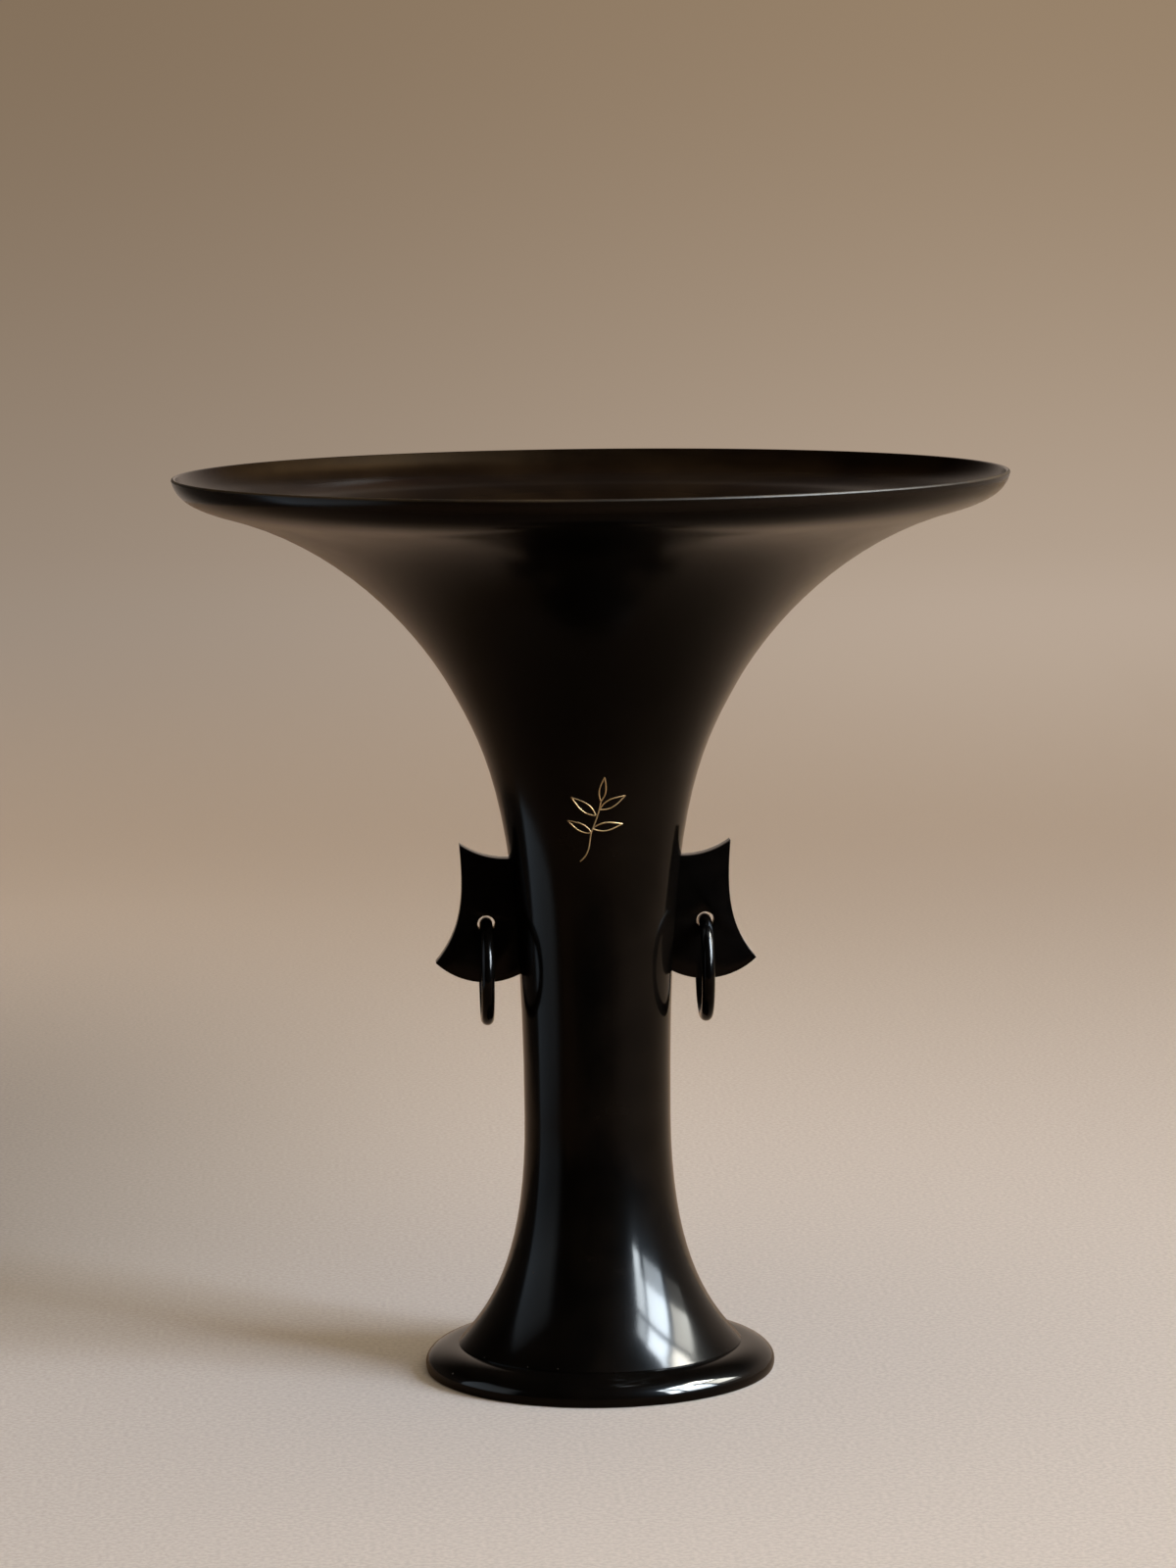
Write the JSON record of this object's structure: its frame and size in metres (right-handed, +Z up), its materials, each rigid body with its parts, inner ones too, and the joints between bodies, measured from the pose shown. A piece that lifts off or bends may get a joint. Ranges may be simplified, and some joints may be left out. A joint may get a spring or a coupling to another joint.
{
  "type": "flower vase",
  "caption": "Dark bronze flower vase: a wide trumpet mouth on a slim stem and a flared bead foot, with fan-shaped ears on the stem that carry loose hanging rings.",
  "frame": {"origin": "centre of the foot's underside, on the surface that the vase stands on", "axes": "+Z up the vase's axis, X through the two ears, -Y to the front"},
  "size_m": [0.2748, 0.2748, 0.3],
  "materials": {
    "patinated_bronze": "near-black brown patina with a waxed gloss",
    "plate_bronze": "dull brown, unpolished",
    "bare_brass": "bare, slightly dulled",
    "solder": "dull grey soft solder"
  },
  "bodies": {
    "vase": {"vase_body": "patinated_bronze", "foot_ring": "patinated_bronze", "bottom_plate": "plate_bronze", "bottom_solder_seam": "solder", "left_ear": "patinated_bronze", "left_upper_washer": "bare_brass", "left_lower_washer": "bare_brass", "right_ear": "patinated_bronze", "right_upper_washer": "bare_brass", "right_lower_washer": "bare_brass"},
    "left_ring": {"left_ring": "patinated_bronze"},
    "right_ring": {"right_ring": "patinated_bronze"}
  },
  "joints": [
    {"name": "left_ring_swing", "type": "hinge", "parent": "vase", "child": "left_ring", "pos_m": [-0.03637, 0, 0.15055], "axis": [0, 1, 0], "range_deg": [-16, 186]},
    {"name": "right_ring_swing", "type": "hinge", "parent": "vase", "child": "right_ring", "pos_m": [0.03637, 0, 0.15055], "axis": [0, -1, 0], "range_deg": [-16, 186]}
  ]
}
